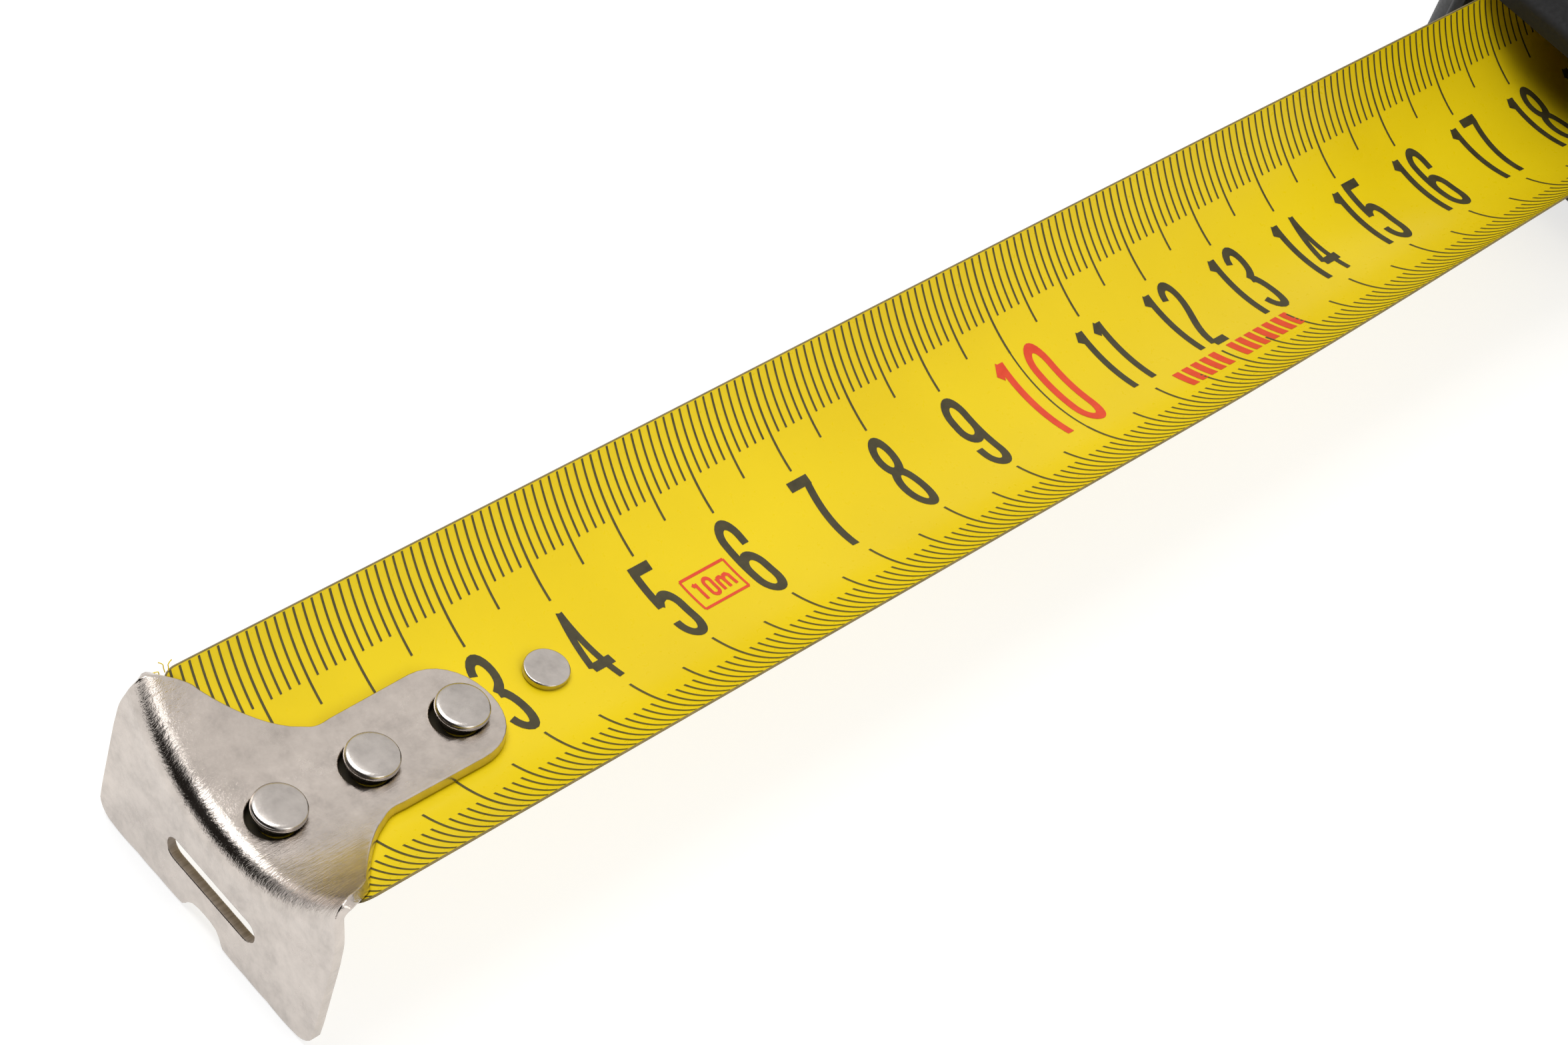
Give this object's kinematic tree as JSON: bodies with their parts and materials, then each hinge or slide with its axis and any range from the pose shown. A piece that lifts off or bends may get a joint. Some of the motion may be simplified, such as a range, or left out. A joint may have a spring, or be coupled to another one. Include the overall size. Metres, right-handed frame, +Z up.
{
  "type": "tape measure",
  "caption": "Pocket tape measure with a trough-shaped steel blade drawn part way out, a sliding end hook, a coiled drum in a moulded case, a thumb lock and a belt clip.",
  "frame": {"origin": "on the face of the wear pad under the case, below the drum's axis", "axes": "+X from the hook along the blade towards the back of the case, +Y across the blade, +Z up"},
  "size_m": [0.2663, 0.053, 0.0808],
  "materials": {
    "case_plastic": "fine moulded texture",
    "rubber": "soft matt",
    "blade_coat": "glossy yellow with black print",
    "nickel": "satin nickel plate with fine scratches",
    "rivet_steel": "bright",
    "spring_steel": "blued",
    "drum_plastic": "plain",
    "disc": "semi gloss yellow"
  },
  "bodies": {
    "case": {"case_left": "case_plastic", "case_right": "case_plastic", "strap_pin": "spring_steel", "bumper": "rubber", "side_grip_left": "rubber", "side_grip_right": "rubber", "side_disc": "disc", "mouth_frame": "rubber", "base_pad": "rubber", "blade_guide": "case_plastic", "case_screw_1": "spring_steel", "case_screw_2": "spring_steel", "case_screw_3": "spring_steel", "case_screw_4": "spring_steel", "centre_post": "spring_steel", "belt_clip": "nickel", "clip_screw": "spring_steel", "blade_throat": "blade_coat"},
    "drum": {"drum_hub": "drum_plastic", "drum_flange_left": "drum_plastic", "drum_flange_right": "drum_plastic", "drum_bush_left": "drum_plastic", "drum_bush_right": "drum_plastic", "coiled_blade": "blade_coat", "mainspring": "spring_steel", "spring_cover": "spring_steel"},
    "blade": {"blade_strip": "blade_coat", "hook_rivet_1": "rivet_steel", "hook_rivet_2": "rivet_steel", "hook_rivet_3": "rivet_steel", "stop_rivet": "rivet_steel"},
    "hook": {"end_hook": "nickel"},
    "thumb_lock": {"lock_button": "rubber", "lock_slider": "spring_steel"},
    "brake": {"brake_shoe": "rubber"}
  },
  "joints": [
    {"name": "drum_spin", "type": "hinge", "parent": "case", "child": "drum", "pos_m": [0, 0, 0.0427], "axis": [0, -1, 0], "range_deg": [0, 336.9]},
    {"name": "blade_slide", "type": "slide", "parent": "case", "child": "blade", "axis": [1, 0, 0], "range_m": [0, 0.1777], "deforming": ["blade_strip", "blade_throat"]},
    {"name": "hook_slide", "type": "slide", "parent": "blade", "child": "hook", "axis": [1, 0, 0], "range_m": [0, 0.0011]},
    {"name": "lock_slide", "type": "slide", "parent": "case", "child": "thumb_lock", "axis": [0.3867, 0, 0.9222], "range_m": [0, 0.007]},
    {"name": "brake_lift", "type": "slide", "parent": "case", "child": "brake", "axis": [-0.9222, 0, 0.3867], "range_m": [0, 0.0013]}
  ],
  "couplings": [
    {"joint": "blade_slide", "follows": "drum_spin", "m_per_rad": 0.0302},
    {"joint": "brake_lift", "follows": "lock_slide", "ratio": 0.18}
  ]
}
